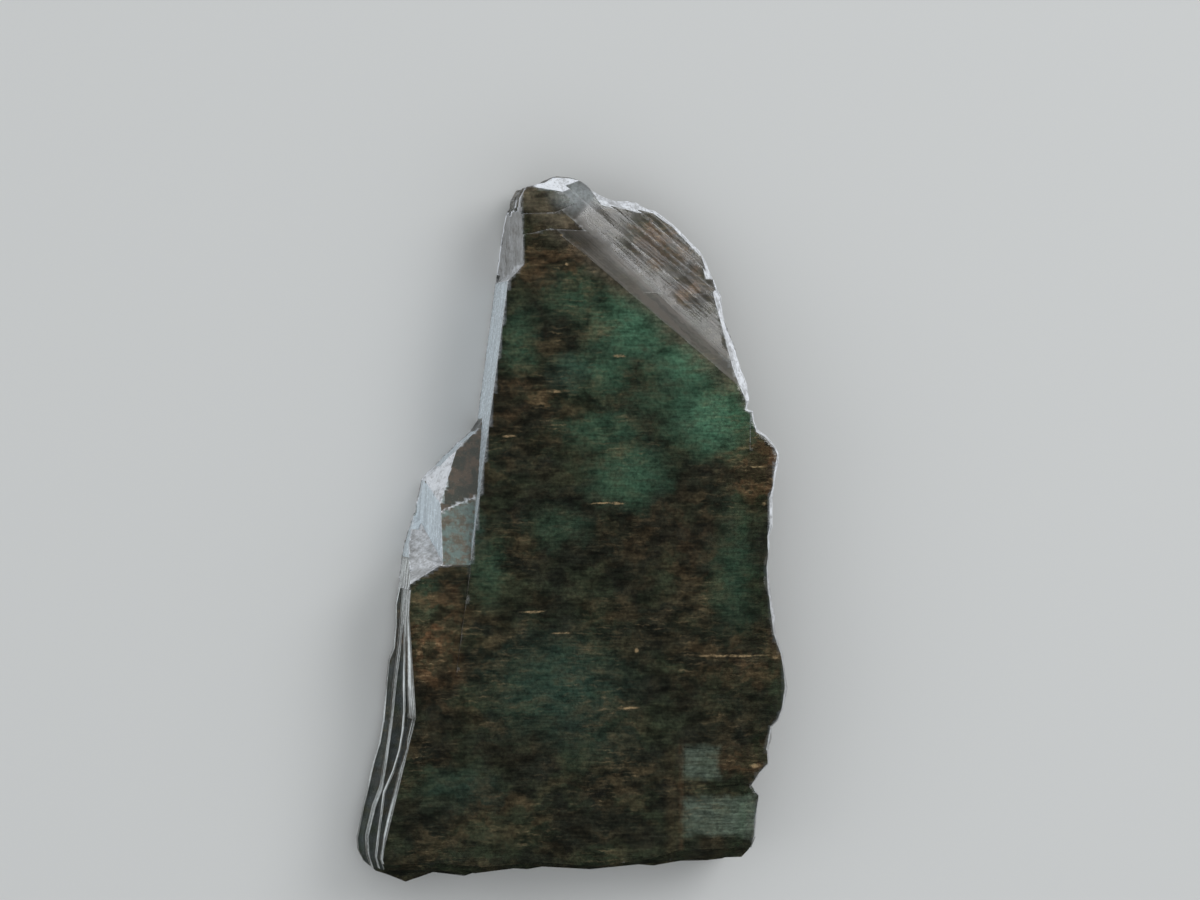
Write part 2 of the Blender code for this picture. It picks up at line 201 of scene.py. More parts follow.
# Colours that belong to one place only.
BORDER_BROWN = (0.26, 0.21, 0.15)
BAND_BROWN = (0.20, 0.17, 0.14)
HAZE_BROWN = (0.24, 0.20, 0.15)
TIP_HAZE_BROWN = (0.08, 0.062, 0.04)
TIP_CORNER_SHADE_BROWN = (0.07, 0.055, 0.035)
DENSE_BREAK = (0.07, 0.062, 0.045)
BROWN_SPECKS = (0.09, 0.064, 0.042)
GREEN_VEIL = (0.12, 0.17, 0.155)
GREEN_VEIL_SPECKS = (0.10, 0.085, 0.06)
# Grey of the thin layers' edges: partly their own colour, partly painted grazing reflection.
LAYER_GREY_AND_SHEEN = (0.78, 0.83, 0.84)
JOINT_DARK = (0.075, 0.072, 0.062)
SKY_WHITE = (0.97, 0.99, 1.0, 1.0)

# The directions of the soft lights and of the dim part of the sky, seen from the crystal, between which
# cosines from that direction the sky dims, and the middle of the view, right and up from the crystal's.
WINDOW_FROM = (0.56, 0.43, 0.71)
SIDE_LIGHT_FROM = (-0.85, -0.1, 0.5)
DIM_SKY = (0.17, 0.0, 0.985)
SKY_DIMS = (0.86, 0.975)
VIEW_MIDDLE = (1.715, 3.79)

# Single bright glints of inner cracks, painted into the colour as highlights: place, half length and half
# width.
GLINTS = {
    "upper_left": (-1.1, 6.62, 0.75, 0.10),
    "middle_line": (1.5, 1.22, 1.3, 0.06),
    "middle_bright": (1.75, 1.22, 0.35, 0.09),
    "left": (-3.4, 4.45, 0.4, 0.09),
    "upper": (1.95, 8.3, 0.4, 0.08),
    "top_small": (-0.6, 12.7, 0.14, 0.10),
    "top_other": (-0.85, 14.1, 0.16, 0.09),
    "low": (2.8, -5.85, 0.12, 0.14),
    "left_low": (-2.3, -3.95, 0.8, 0.07),
    "inner_low": (-0.9, -5.0, 0.6, 0.06),
    "right_edge": (9.6, -6.25, 0.2, 0.14),
    "right_line": (7.4, -6.15, 2.4, 0.08),
    "low_middle": (2.4, -8.6, 0.7, 0.07),
    "plate": (-7.75, -5.9, 0.2, 0.13),
    "notch": (8.6, -11.45, 0.35, 0.14),
    "right_top": (9.05, 1.2, 0.15, 0.1),
    "right_shoulder": (8.7, 3.0, 0.5, 0.07),
}


class SurfaceSettings(bpy.types.PropertyGroup):
    """How finely the faces are divided and how deep their relief is."""

    cell_across: FloatProperty(
        name="Cell across", description="Width of the cells that the faces are divided into",
        default=0.22 * MM, min=0.1 * MM, max=2 * MM, unit="LENGTH", precision=5,
    )
    cell_along: FloatProperty(
        name="Cell along", description="Length of the cells that the faces are divided into",
        default=0.16 * MM, min=0.1 * MM, max=2 * MM, unit="LENGTH", precision=5,
    )
    step_depth: FloatProperty(
        name="Growth steps", description="Depth of the faint steps across the front face",
        default=0.008 * MM, min=0.0, max=0.1 * MM, unit="LENGTH", precision=6,
    )
    ridge_depth: FloatProperty(
        name="Bevel ridges", description="Depth of the ridges along the bevelled end",
        default=0.042 * MM, min=0.0, max=0.2 * MM, unit="LENGTH", precision=6,
    )
    ledge_depth: FloatProperty(
        name="Side ledges", description="Depth of the thin ledges around the broken sides",
        default=0.06 * MM, min=0.0, max=0.3 * MM, unit="LENGTH", precision=6,
    )
    chip_depth: FloatProperty(
        name="Chip roughness", description="Depth of the relief on chips and worn rims",
        default=0.09 * MM, min=0.0, max=0.3 * MM, unit="LENGTH", precision=6,
    )
    seed: IntProperty(name="Seed", description="Shifts the random relief", default=3, min=0, max=1000)


class BodySettings(bpy.types.PropertyGroup):
    """Colours and clearness of the crystal."""

    dark: FloatVectorProperty(
        name="Dark body", description="Colour of the dark parts", subtype="COLOR", size=3,
        default=(0.031, 0.035, 0.024), min=0, max=1,
    )
    moss: FloatVectorProperty(
        name="Green veils", description="Colour of the dark green veils", subtype="COLOR", size=3,
        default=(0.066, 0.085, 0.048), min=0, max=1,
    )
    olive: FloatVectorProperty(
        name="Olive veils", description="Colour of the brownish veils", subtype="COLOR", size=3,
        default=(0.155, 0.118, 0.064), min=0, max=1,
    )
    green: FloatVectorProperty(
        name="Green windows", description="Colour of the clear green windows", subtype="COLOR", size=3,
        default=(0.20, 0.47, 0.29), min=0, max=1,
    )
    teal: FloatVectorProperty(
        name="Teal windows", description="Colour of the clear blue-green windows", subtype="COLOR", size=3,
        default=(0.11, 0.24, 0.175), min=0, max=1,
    )
    pane: FloatVectorProperty(
        name="Panes", description="Colour of the panes at the lower right", subtype="COLOR", size=3,
        default=(0.28, 0.36, 0.28), min=0, max=1,
    )
    rust: FloatVectorProperty(
        name="Rust", description="Colour of the reddish brown patches", subtype="COLOR", size=3,
        default=(0.26, 0.14, 0.07), min=0, max=1,
    )
    # Colour of the painted glints of inner cracks.
    gold: FloatVectorProperty(
        name="Glints", description="Colour of the glints on inner cracks", subtype="COLOR", size=3,
        default=(1.0, 0.72, 0.40), min=0, max=1,
    )
    # Painted sheen: the pale bluish colour that stands in for the side facets' reflection.
    pale: FloatVectorProperty(
        name="Pale facets", description="Colour of the bluish grey facets", subtype="COLOR", size=3,
        default=(0.54, 0.62, 0.68), min=0, max=1,
    )
    frost: FloatVectorProperty(
        name="Broken rims", description="Colour of the rough rims and chips", subtype="COLOR", size=3,
        default=(0.78, 0.81, 0.86), min=0, max=1,
    )
    clearness: FloatProperty(
        name="Clearness", description="Share of the light that passes through the surface",
        default=0.7, min=0, max=1, subtype="FACTOR",
    )
    refraction: FloatProperty(
        name="Refraction", description="Index of refraction of vivianite", default=1.6, min=1, max=3,
    )
    absorbed: FloatVectorProperty(
        name="Inner colour", description="Colour that the body keeps over depth", subtype="COLOR", size=3,
        default=(0.34, 0.66, 0.50), min=0, max=1,
    )
    density: FloatProperty(
        name="Absorption", description="How strongly the body absorbs over depth",
        default=900.0, min=0, max=10000,
    )


class StageSettings(bpy.types.PropertyGroup):
    """The floor, the light and the view."""

    floor: FloatVectorProperty(
        name="Floor", description="Colour of the plain floor", subtype="COLOR", size=3,
        default=(0.60, 0.61, 0.61), min=0, max=1,
    )
    sky: FloatProperty(
        name="Soft light", description="Strength of the soft light all around", default=0.8, min=0,
    )
    window: FloatProperty(
        name="Window", description="Power of the soft light that the bevelled end mirrors",
        default=0.44, min=0, unit="POWER", precision=3,
    )
    side: FloatProperty(
        name="Side light", description="Power of the soft light from the left",
        default=0.2, min=0, unit="POWER", precision=3,
    )
    turn: FloatProperty(
        name="Turn", description="How far the view stands left of the front face's own direction",
        default=math.radians(10), subtype="ANGLE",
    )
    distance: FloatProperty(
        name="Distance", description="From the camera to the crystal", default=0.22, min=0.01, unit="LENGTH",
    )
    lens: FloatProperty(name="Lens", description="Focal length in millimetres", default=135.0, min=10)


# Surface


def merged_solid():
    """A copy of the solid's mesh with its loose triangles joined into its flat faces."""
    bm = bmesh.new()
    bm.from_mesh(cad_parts[NODE].data)
    bmesh.ops.remove_doubles(bm, verts=bm.verts[:], dist=SAME_POINT)
    bmesh.ops.dissolve_limit(bm, angle_limit=ONE_FACE, verts=bm.verts[:], edges=bm.edges[:])
    return bm


def within(values, ranges):
    return all(low < value < high for value, (low, high) in zip(values, ranges))


def middle_of(face):
    return face.calc_center_median() / MM


def close_to(face, place, outward, reach, slack, likeness):
    """Whether a face lies near a plane through the place and looks much the same way."""
    middle = middle_of(face) - Vector(place)
    outward = Vector(outward)
    same_plane = middle.length < reach and abs(middle.dot(outward)) < slack
    return same_plane and face.normal.dot(outward) > likeness


def whiteness_of_chip(face):
    """How whitish the chip is that a face belongs to, or zero on a face that isn't chipped."""
    return max(
        white if close_to(face, place, outward, reach, slack=0.25, likeness=0.8) else 0.0
        for place, outward, reach, white in CHIPS.values()
    )


def is_edge_of_layers(face):
    """Whether a face is an upright broken edge on the left, below the straight side face."""
    upright = face.normal.x < -0.3 and abs(face.normal.z) < 0.7
    return upright and within(middle_of(face), LAYER_EDGES)


def is_ledge_of_layers(face):
    """Whether a face is one of the narrow ledges between the thin layers on the lower left."""
    level = face.normal.z > 0.9
    return level and within(middle_of(face), LAYER_LEDGES)


def is_rim(face):
    """Whether a face belongs to the narrow worn rim around the top and the right side."""
    slanting = 0.2 < face.normal.z < 0.87
    return slanting and any(within(middle_of(face), zone) for zone in RIMS.values())


def is_bevel(face):
    """Whether a face belongs to the low slope of the bevelled end."""
    slanting = 0.87 < face.normal.z < 0.9985
    return slanting and within(middle_of(face), BEVEL)


def mark_faces(bm):
    """Writes on every flat face what it is, so that the cells it is divided into still know it."""
    marks = {name: bm.faces.layers.float.new(name) for name in MARKS}
    for face in bm.faces:
        whiteness = whiteness_of_chip(face) or RIM_WHITENESS * is_rim(face)
        if whiteness:
            face[marks["broken"]] = 1.0
            face[marks["pale"]] = whiteness
            continue
        face[marks["bevel"]] = float(is_bevel(face))
        for place, outward, reach, strength in PALE_FACETS.values():
            if close_to(face, place, outward, reach, slack=0.1, likeness=0.995):
                face[marks["pale"]] = strength
        # The shoulder's upright edges get the painted bluish sheen as well.
        if is_edge_of_layers(face) and face.calc_center_median().y > SHOULDER_EDGE_END * MM:
            face[marks["pale"]] = 1.0
        if is_ledge_of_layers(face):
            face[marks["pale"]] = LEDGE_PALENESS
        face[marks["layered"]] = float(is_edge_of_layers(face) and not face[marks["pale"]])
    for edge in bm.edges:
        edge.smooth = len(edge.link_faces) == 2 and edge.calc_face_angle(math.pi) < SHARP_EDGE
    return marks


def end_side_strip(bm, marks):
    """Where the side face is only the low step beside the plate, it is a dark break and has no sheen."""
    for face in bm.faces:
        shiny = face[marks["pale"]] > SHEEN_FROM and not face[marks["broken"]]
        if shiny and face.calc_center_median().y < STRIP_END * MM:
            face[marks["broken"]] = 1.0
            face[marks["pale"]] = 0.0


def divide(bm, axis, cell):
    """Cuts the faces into cells along one axis."""
    places = [vert.co[axis] for vert in bm.verts]
    low, high = min(places), max(places)
    count = math.ceil((high - low) / cell)
    direction = Vector([float(axis == number) for number in range(3)])
    for number in range(1, count):
        bmesh.ops.bisect_plane(
            bm, geom=bm.verts[:] + bm.edges[:] + bm.faces[:], dist=ON_CUT,
            plane_co=direction * (low + number * (high - low) / count), plane_no=direction,
        )


def wave(place, size, shift=0.0):
    """Smooth noise around zero, for a place in millimetres and a grain size across each axis."""
    return noise.noise(Vector([place[axis] / size[axis] + shift for axis in range(3)]))


def relief(place, normal, broken, bevel, depths):
    """How far a point of the surface lies behind the flat face."""
    seed = depths.seed
    depth = 0.0
    upright = 1 - min(1.0, abs(normal.z) / 0.6)
    if normal.z > 0.6 and not broken:
        step = 0.7 * wave(place, (6.0, 0.5, 4.0), seed) + 0.3 * wave(place, (2.5, 0.25, 4.0), seed + 9)
        depth += depths.step_depth * (step + 0.5)
    if bevel:
        right, up = RIDGES_ACROSS
        turned = Vector((right * place.x + up * place.y, up * place.x - right * place.y, 0.0))
        ridge = 0.65 * wave(turned, (0.42, 7.0, 1.0), seed) + 0.35 * wave(turned, (0.2, 4.0, 1.0), seed + 5)
        outer = min(1.0, max(0.12, (turned.x - RIDGES_FROM) / RIDGES_GROW))
        depth += depths.ridge_depth * bevel * outer * (ridge + 0.4)
    if upright > 0:
        ledge = 0.6 * wave(place, (3.0, 3.0, 0.28), seed + 2) + 0.4 * wave(place, (1.1, 1.1, 0.5), seed + 4)
        depth += depths.ledge_depth * upright * ledging(place, normal) * (ledge + 0.6)
    if broken:
        chip = 0.6 * wave(place, (0.55, 0.55, 0.55), seed) + 0.4 * wave(place, (0.26, 0.26, 0.26), seed + 3)
        depth += depths.chip_depth * broken * (chip + 0.45)
    return depth


def ledging(place, normal):
    """How ledged an upright face is: hardly on the flat growth face along the left, fully on the breaks."""
    return 0.06 if normal.x < -0.9 and within(place, FLAT_SIDE) else 1.0


def mean_mark(vert, layer):
    return sum(face[layer] for face in vert.link_faces) / len(vert.link_faces)


def roughen(bm, marks, depths):
    """Gives the cells their relief, and keeps every point inside the solid's box."""
    low, high = Vector(SOLID_BOX[0]), Vector(SOLID_BOX[1])
    bm.normal_update()
    moves = []
    for vert in bm.verts:
        broken, bevel = mean_mark(vert, marks["broken"]), mean_mark(vert, marks["bevel"])
        depth = relief(vert.co / MM, vert.normal, broken, bevel, depths)
        moves.append(vert.co - vert.normal * depth)
    for vert, place in zip(bm.verts, moves):
        vert.co = [min(max(place[axis], low[axis]), high[axis]) for axis in range(3)]


def is_sharp_outer_edge(edge, broken):
    """Whether an edge is sharp, points outwards and borders a face that isn't broken."""
    return not edge.smooth and edge.is_convex and any(face[broken] < 0.5 for face in edge.link_faces)


def catches_light(place):
    """Whether worn edges look whitish here, partly from wear and partly as painted highlight: around the tip,
    the left shoulder and the upper right.
    """
    return any(within(place, zone) for zone in LIT_WORN_EDGES.values())


def write_marks(mesh, bm, marks):
    """Keeps the marks on the mesh's points, softened over one cell, for the materials to read."""
    values = {name: [mean_mark(vert, layer) for vert in bm.verts] for name, layer in marks.items()}
    broken = marks["broken"]
    # The edge mark: sharp outer edges in the lit zones, painted whitish as wear and as highlight.
    values["edge"] = [
        float(catches_light(vert.co / MM) and any(is_sharp_outer_edge(edge, broken) for edge in vert.link_edges))
        for vert in bm.verts
    ]
    for name, numbers in values.items():
        mesh.attributes.new(name + "_mark", "FLOAT", "POINT").data.foreach_set("value", numbers)


# Materials


def fill(tree, socket, value):
    """Links a socket to another node's output, or sets its value."""
    if isinstance(value, bpy.types.NodeSocket):
        tree.links.new(value, socket)
    else:
        socket.default_value = value


def add(tree, kind, settings=None, **values):
    """Adds a node, sets its options, and fills its inputs, given by their names or as n0, n1 and so on."""
    made = tree.nodes.new(kind)
    for name, value in (settings or {}).items():
        setattr(made, name, value)
    for name, value in values.items():
        numbered = name[0] == "n" and name[1:].isdigit()
        fill(tree, made.inputs[int(name[1:]) if numbered else name.replace("_", " ")], value)
    return made


def math_node(tree, operation, first, second=0.5, clamp=False):
    made = add(tree, "ShaderNodeMath", {"operation": operation, "use_clamp": clamp}, n0=first, n1=second)
    return made.outputs[0]


def times(tree, *values):
    """The product of all the values."""
    product = values[0]
    for value in values[1:]:
        product = math_node(tree, "MULTIPLY", product, value)
    return product


def larger(tree, first, second):
    return math_node(tree, "MAXIMUM", first, second)


def rest_of(tree, share):
    """What a share leaves of one."""
    return math_node(tree, "SUBTRACT", 1.0, share)


def vector_math(tree, operation, first, second):
    return add(tree, "ShaderNodeVectorMath", {"operation": operation}, n0=first, n1=second).outputs[0]


def scaled(tree, vector, scale):
    return add(tree, "ShaderNodeVectorMath", {"operation": "SCALE"}, n0=vector, Scale=scale).outputs[0]


def reach_along(tree, place, direction):
    """How far a place lies in a direction."""
    made = add(tree, "ShaderNodeVectorMath", {"operation": "DOT_PRODUCT"}, n0=place, n1=direction)
    return made.outputs["Value"]


def part_of(tree, vector, axis):
    return add(tree, "ShaderNodeSeparateXYZ", Vector=vector).outputs[axis]


def noise_of(tree, place, scale, detail, roughness=0.5):
    made = add(tree, "ShaderNodeTexNoise", Vector=place, Scale=scale, Detail=detail, Roughness=roughness)
    return made.outputs[0]


def blend(tree, share, first, second, kind="MIX"):
    """Mixes two colours."""
    made = add(tree, "ShaderNodeMix", {"data_type": "RGBA", "blend_type": kind, "clamp_factor": True})
    inputs = {socket.identifier: socket for socket in made.inputs}
    fill(tree, inputs["Factor_Float"], share)
    for name, colour in (("A_Color", first), ("B_Color", second)):
        fill(tree, inputs[name], colour if isinstance(colour, bpy.types.NodeSocket) else (*colour, 1.0))
    return next(socket for socket in made.outputs if socket.identifier == "Result_Color")


def spread(tree, value, low, high, to_low=0.0, to_high=1.0):
    """Stretches a range of values smoothly to another."""
    made = add(
        tree, "ShaderNodeMapRange", {"interpolation_type": "SMOOTHSTEP", "clamp": True},
        Value=value, From_Min=low, From_Max=high, To_Min=to_low, To_Max=to_high,
    )
    return made.outputs[0]


def new_group(name, inputs, result):
    """A shader node group with named inputs, each with its kind and default, and one named result."""
    group = bpy.data.node_groups.new(name, "ShaderNodeTree")
    for label, kind, default in inputs:
        socket = group.interface.new_socket(name=label, in_out="INPUT", socket_type=kind)
        if default is not None:
            socket.default_value = default
    group.interface.new_socket(name=result, in_out="OUTPUT", socket_type="NodeSocketFloat")
    given = group.nodes.new("NodeGroupInput").outputs
    return group, given, group.nodes.new("NodeGroupOutput").inputs[result]


def place_group(tree, group, **values):
    """Places a node group, fills its inputs, and gives its result."""
    made = tree.nodes.new("ShaderNodeGroup")
    made.node_tree = group
    for name, value in values.items():
        fill(tree, made.inputs[name], value)
    return made.outputs[0]


def streak_group():
    """Noise drawn out along one direction: growth lines, cleavage lines and streaky veils."""
    inputs = [
        ("Place", "NodeSocketVector", None), ("Turn", "NodeSocketFloat", 0.0),
        ("Grain", "NodeSocketVector", (1.0, 1.0, 1.0)),
        ("Low", "NodeSocketFloat", 0.3), ("High", "NodeSocketFloat", 0.7),
    ]
    group, given, result = new_group("growth_streaks", inputs, "Streaks")
    turned = add(
        group, "ShaderNodeVectorRotate", {"rotation_type": "Z_AXIS"},
        Vector=given["Place"], Angle=given["Turn"],
    ).outputs[0]
    grain = noise_of(group, vector_math(group, "DIVIDE", turned, given["Grain"]), 1.0, 3.0, 0.55)
    group.links.new(spread(group, grain, given["Low"], given["High"]), result)
    return group


def mask_group(name, shapes, mask_of_shape):
    """The masks of several shapes on the front face, joined where they overlap."""
    group, given, result = new_group(name, [("Place", "NodeSocketVector", None)], "Mask")
    total = None
    for shape in shapes.values():
        mask = mask_of_shape(group, given["Place"], *shape)
        total = mask if total is None else larger(group, total, mask)
    group.links.new(total, result)
    return group


def ball(tree, place, across, along, half_across, half_along):
    """One in the middle of an ellipse, falling to zero at its outline."""
    local = add(
        tree, "ShaderNodeMapping", {"vector_type": "TEXTURE"}, Vector=place,
        Location=(across, along, 0.0), Scale=(half_across, half_along, 1000.0),
    ).outputs[0]
    return add(tree, "ShaderNodeTexGradient", {"gradient_type": "SPHERICAL"}, Vector=local).outputs[1]


def soft_patch(tree, place, across, along, half_across, half_along, strength):
    """A soft ellipse of a strength."""
    soft = spread(tree, ball(tree, place, across, along, half_across, half_along), 0.0, 0.9)
    return times(tree, soft, strength)


def soft_box(tree, place, across, along, half_across, half_along):
    """An upright or lying box with edges that are soft over half a millimetre."""
    local = vector_math(tree, "SUBTRACT", place, (across, along, 0.0))
    local = add(tree, "ShaderNodeVectorMath", {"operation": "ABSOLUTE"}, n0=local).outputs[0]
    inside = math_node(
        tree, "MINIMUM",
        math_node(tree, "SUBTRACT", half_across, part_of(tree, local, "X")),
        math_node(tree, "SUBTRACT", half_along, part_of(tree, local, "Y")),
    )
    return spread(tree, inside, -0.2, min(0.3, half_across))


def place_in_mm(tree):
    """The point's place on the crystal, in millimetres."""
    return scaled(tree, tree.nodes.new("ShaderNodeTexCoord").outputs["Object"], 1 / MM)


def wander(tree, place, size, reach):
    """Moves a place about by smooth noise, so that soft patches get uneven outlines."""
    grain = add(tree, "ShaderNodeTexNoise", Vector=place, Scale=1 / size, Detail=3.0, Roughness=0.6)
    centred = vector_math(tree, "SUBTRACT", grain.outputs[1], (0.5, 0.5, 0.5))
    return vector_math(tree, "ADD", place, scaled(tree, centred, reach))


def mark(tree, name):
    return add(tree, "ShaderNodeAttribute", {"attribute_name": name + "_mark"}).outputs["Fac"]


def new_material(name):
    material = bpy.data.materials.new(name)
    material.use_nodes = True
    tree = material.node_tree
    return material, tree, tree.nodes["Principled BSDF"], tree.nodes["Material Output"]


def tinted(tree, colour, value):
    """The colour made lighter or darker by a number."""
    grey = add(tree, "ShaderNodeCombineColor", Red=value, Green=value, Blue=value).outputs[0]
    return blend(tree, 1.0, colour, grey, kind="MULTIPLY")


def bump_normal(tree, shader, height, strength, distance):
    bump = add(tree, "ShaderNodeBump", Strength=strength, Distance=distance, Height=height)
    tree.links.new(bump.outputs[0], shader.inputs["Normal"])


def body_fields(tree, streaks):
    """The places, noises and masks that the body's colour, gloss and relief are made from."""
    place = place_in_mm(tree)
    strayed = wander(tree, place, 1.0, 1.9)
    frayed = wander(tree, place, 0.35, 0.35)
    brown = place_group(tree, mask_group("brown_patches", BROWN_PATCHES, soft_patch), Place=strayed)
    return SimpleNamespace(
        place=place, strayed=strayed, frayed=frayed, brown=brown,
        bent=wander(tree, place, 0.8, 0.7),
        bevel=mark(tree, "bevel"),
        fine=noise_of(tree, place, 5.5, 3.0, 0.7),
        mottle=noise_of(tree, vector_math(tree, "MULTIPLY", place, (1.0, 1.9, 1.0)), 1.1, 4.0, 0.62),
        clouds=noise_of(tree, place, 0.3, 2.0),
        hairs=place_group(tree, streaks, Place=place, Grain=(1.3, 0.11, 2.0), Low=0.28, High=0.72),
        veils=place_group(tree, streaks, Place=strayed, Grain=(1.5, 0.75, 2.0), Low=0.40, High=0.68),
        moss=place_group(tree, streaks, Place=strayed, Grain=(2.4, 1.7, 3.0), Low=0.40, High=0.66),
        lines=place_group(tree, streaks, Place=frayed, Grain=(0.8, 0.09, 2.0), Low=0.52, High=0.80),
        bands=place_group(
            tree, streaks, Place=frayed, Turn=BEVEL_TURN, Grain=(3.5, 0.26, 3.0), Low=0.41, High=0.59,
        ),
    )


def inner_colour(tree, look, field):
    """The veils, windows and stains inside the crystal, as they look through the front face, with painted
    golden glints along the growth lines.
    """
    colour = blend(tree, times(tree, field.moss, 0.75), look.dark, look.moss)
    olive = times(tree, field.veils, spread(tree, field.clouds, 0.34, 0.66, 0.15, 0.7))
    colour = blend(tree, olive, colour, look.olive)

    broken_up = spread(tree, field.mottle, 0.40, 0.66, 1.0, 0.3)
    green = place_group(tree, mask_group("green_windows", GREEN_WINDOWS, soft_patch), Place=field.strayed)
    green = times(tree, green, rest_of(tree, field.bevel), broken_up)
    colour = blend(tree, green, colour, look.green)
    teal = place_group(tree, mask_group("teal_windows", TEAL_WINDOWS, soft_patch), Place=field.strayed)
    colour = blend(tree, times(tree, teal, broken_up), colour, look.teal)
    panes = place_group(tree, mask_group("panes", PANES, soft_box), Place=field.bent)
    panes = times(tree, panes, spread(tree, field.mottle, 0.38, 0.64, 1.0, 0.35))
    panes = times(tree, panes, spread(tree, field.hairs, 0.2, 0.8, 0.8, 1.0))
    colour = blend(tree, panes, colour, look.pane)
    upright_veil = place_group(tree, mask_group("upright_veils", VEILS, soft_box), Place=field.frayed)
    colour = blend(tree, times(tree, upright_veil, 0.35), colour, look.olive)

    rusty = times(tree, field.brown, spread(tree, field.veils, 0.1, 0.9, 0.2, 0.8))
    red = place_group(tree, mask_group("red_lines", RED_LINES, soft_box), Place=field.frayed)
    red = times(tree, red, spread(tree, field.mottle, 0.36, 0.62, 0.42, 0.1))
    colour = blend(tree, larger(tree, rusty, red), colour, look.rust)
    # Golden streaks along the lines: painted glints of inner cracks.
    scattered = times(tree, field.lines, spread(tree, field.clouds, 0.42, 0.62, 0.1, 0.6))
    golden = larger(tree, scattered, times(tree, field.lines, field.brown))
    return blend(tree, times(tree, golden, 0.42), colour, look.gold)


def body_colour(tree, look, field):
    """The inner colour with the brownish border of the bevel, fine grain, the glints and the pale facets."""
    border = spread(tree, reach_along(tree, field.bent, BEVEL_ACROSS), *BORDER)
    border = times(tree, border, rest_of(tree, field.bevel), 0.65)
    colour = blend(tree, border, inner_colour(tree, look, field), BORDER_BROWN)
    grain = times(
        tree, spread(tree, field.fine, 0.25, 0.75, 0.6, 1.4), spread(tree, field.hairs, 0, 1, 0.8, 1.18),
        spread(tree, field.mottle, 0.3, 0.7, 0.5, 1.8),
    )
    colour = tinted(tree, colour, grain)
    # Painted glints of single inner cracks.
    shaken = wander(tree, field.place, 0.6, 0.25)
    glints = place_group(tree, mask_group("crack_glints", GLINTS, ball), Place=shaken)
    uneven = noise_of(tree, field.place, 2.3, 5.0, 0.75)
    glints = times(tree, spread(tree, glints, 0.0, 0.7), spread(tree, uneven, 0.38, 0.62, 0.05, 0.95))
    colour = blend(tree, glints, colour, look.gold)
    pale = times(tree, mark(tree, "pale"), spread(tree, field.mottle, 0.3, 0.65, 1.1, 0.3))
    return blend(tree, pale, colour, look.pale)


def bevel_look(tree, look, field, colour, rough):
    """Adds the bevelled end's bands, haze, painted shade in the corner and bloom to the body's colour and
    roughness.
    """
    brown_bevel = times(tree, field.bevel, math_node(tree, "MULTIPLY", field.brown, 1.6, clamp=True))
    banded = times(tree, field.bevel, spread(tree, field.bands, 0, 1, 0.1, 0.7))
    banded = times(tree, banded, spread(tree, brown_bevel, 0.0, 1.0, 1.0, 0.45))
    colour = blend(tree, banded, colour, BAND_BROWN)

    haze = spread(tree, reach_along(tree, field.bent, BEVEL_ACROSS), *BEVEL_HAZE, 1.0, 0.0)
    haze = times(tree, field.bevel, haze)
    near_tip = spread(tree, part_of(tree, field.bent, "Y"), *TIP_HAZE)
    haze_brown = blend(tree, near_tip, HAZE_BROWN, TIP_HAZE_BROWN)
    colour = blend(tree, times(tree, haze, spread(tree, field.bands, 0, 1, 0.35, 0.8)), colour, haze_brown)
    rough = larger(tree, rough, times(tree, haze, spread(tree, near_tip, 0.0, 1.0, 0.6, 0.95)))
    rough = larger(tree, rough, times(tree, brown_bevel, spread(tree, field.bands, 0, 1, 0.35, 0.95)))

    # Painted shade in the corner where the bevelled end runs out into the ledges: dark brown and rough.
    corner = spread(tree, reach_along(tree, field.bent, TIP_CORNER_ACROSS), *TIP_CORNER)
    corner = times(tree, field.bevel, corner)
    colour = blend(tree, times(tree, corner, 0.85), colour, TIP_CORNER_SHADE_BROWN)
    rough = larger(tree, rough, times(tree, corner, 0.9))
    bloom = place_group(tree, mask_group("bloom", BLOOM, soft_patch), Place=field.frayed)
    bloom = times(tree, bloom, spread(tree, field.fine, 0.3, 0.65, 0.55, 1.0))
    colour = blend(tree, bloom, colour, look.frost)
    rough = larger(tree, rough, times(tree, bloom, 0.5))
    return colour, rough


def body_lines(tree, streaks, field):
    """The height of the fine lines: along the front face, along the bevel, and around the upright sides."""
    flat = place_group(tree, streaks, Place=field.place, Grain=(5.0, 0.12, 3.0), Low=0.2, High=0.8)
    bevel = place_group(
        tree, streaks, Place=field.place, Turn=BEVEL_TURN, Grain=(5.0, 0.14, 3.0), Low=0.2, High=0.8,
    )
    bevel = times(tree, bevel, spread(tree, field.brown, 0.05, 0.5, 0.6, 4.5))
    side = place_group(tree, streaks, Place=field.place, Grain=(4.0, 4.0, 0.08), Low=0.2, High=0.8)
    normal = add(tree, "ShaderNodeNewGeometry").outputs["Normal"]
    upright = spread(tree, math_node(tree, "ABSOLUTE", part_of(tree, normal, "Z")), 0.3, 0.7, 1.0, 0.0)
    height = add(tree, "ShaderNodeMix", {"data_type": "FLOAT"}, n0=field.bevel, n2=flat, n3=bevel).outputs[0]
    return add(tree, "ShaderNodeMix", {"data_type": "FLOAT"}, n0=upright, n2=height, n3=side).outputs[0]


